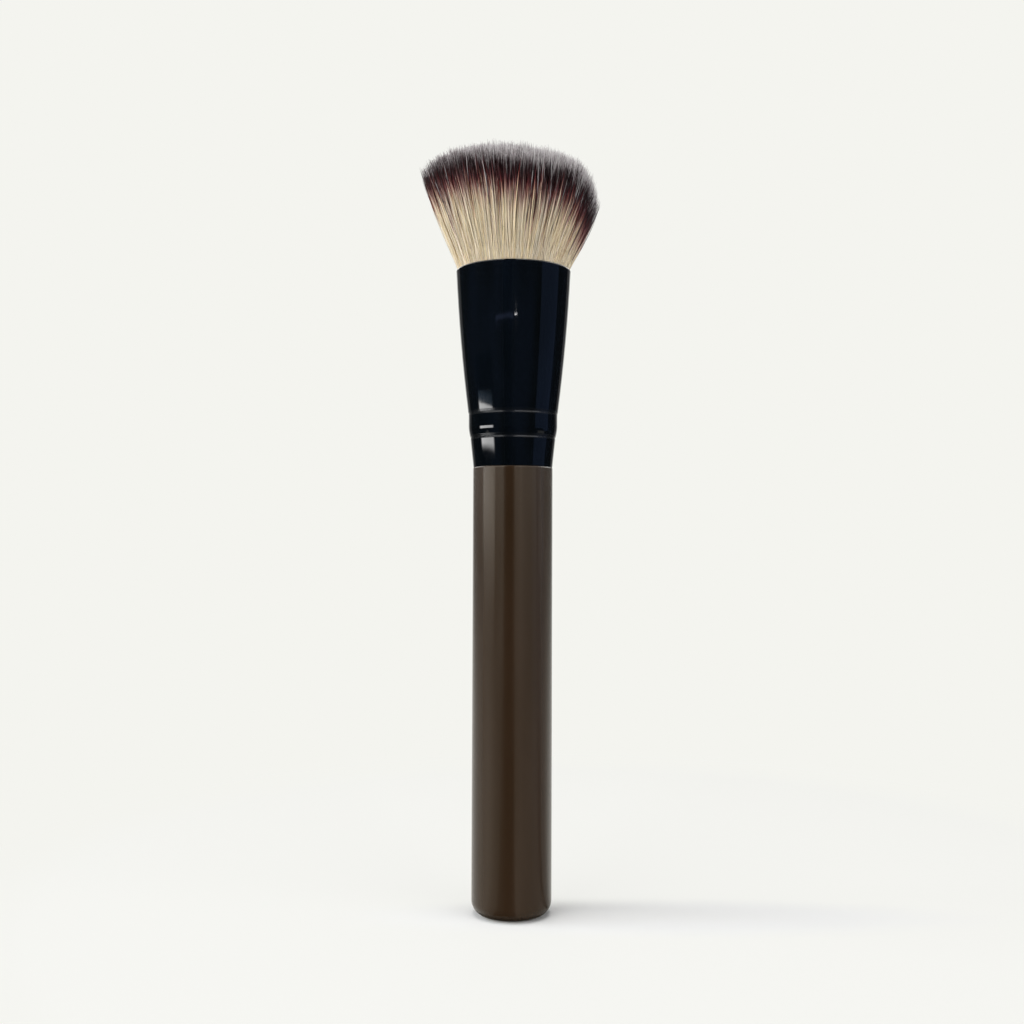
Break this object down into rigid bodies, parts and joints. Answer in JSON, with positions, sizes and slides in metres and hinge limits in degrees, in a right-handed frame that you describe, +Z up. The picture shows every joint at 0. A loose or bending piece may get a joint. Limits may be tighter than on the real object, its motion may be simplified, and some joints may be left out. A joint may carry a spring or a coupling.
{
  "type": "kabuki makeup brush",
  "caption": "Long-handled makeup brush with a straight round lacquered handle, a flared black ferrule with rolled grooves, and a full tuft cut to a slanting dome.",
  "frame": {"origin": "centre of the flat end of the handle, which the brush stands on", "axes": "+Z up along the handle's axis towards the tuft; the tuft's slanting cut falls towards +X; +Y away from the picture's camera"},
  "size_m": [0.0406, 0.0418, 0.1718],
  "materials": {
    "handle_lacquer": "dark taupe brown gloss lacquer on turned wood",
    "adhesive": "cured two-part adhesive",
    "ferrule_black": "gloss blue-black coating on drawn aluminium",
    "resin": "cast epoxy resin",
    "thread": "twisted polyester thread",
    "filaments": "tapered synthetic filaments, cream with a dark burgundy band and pale tips"
  },
  "bodies": {
    "root": {"handle": "handle_lacquer", "tenon_glue": "adhesive", "ferrule": "ferrule_black", "resin_plug": "resin", "binding_thread": "thread", "filament_tuft": "filaments"}
  },
  "joints": []
}
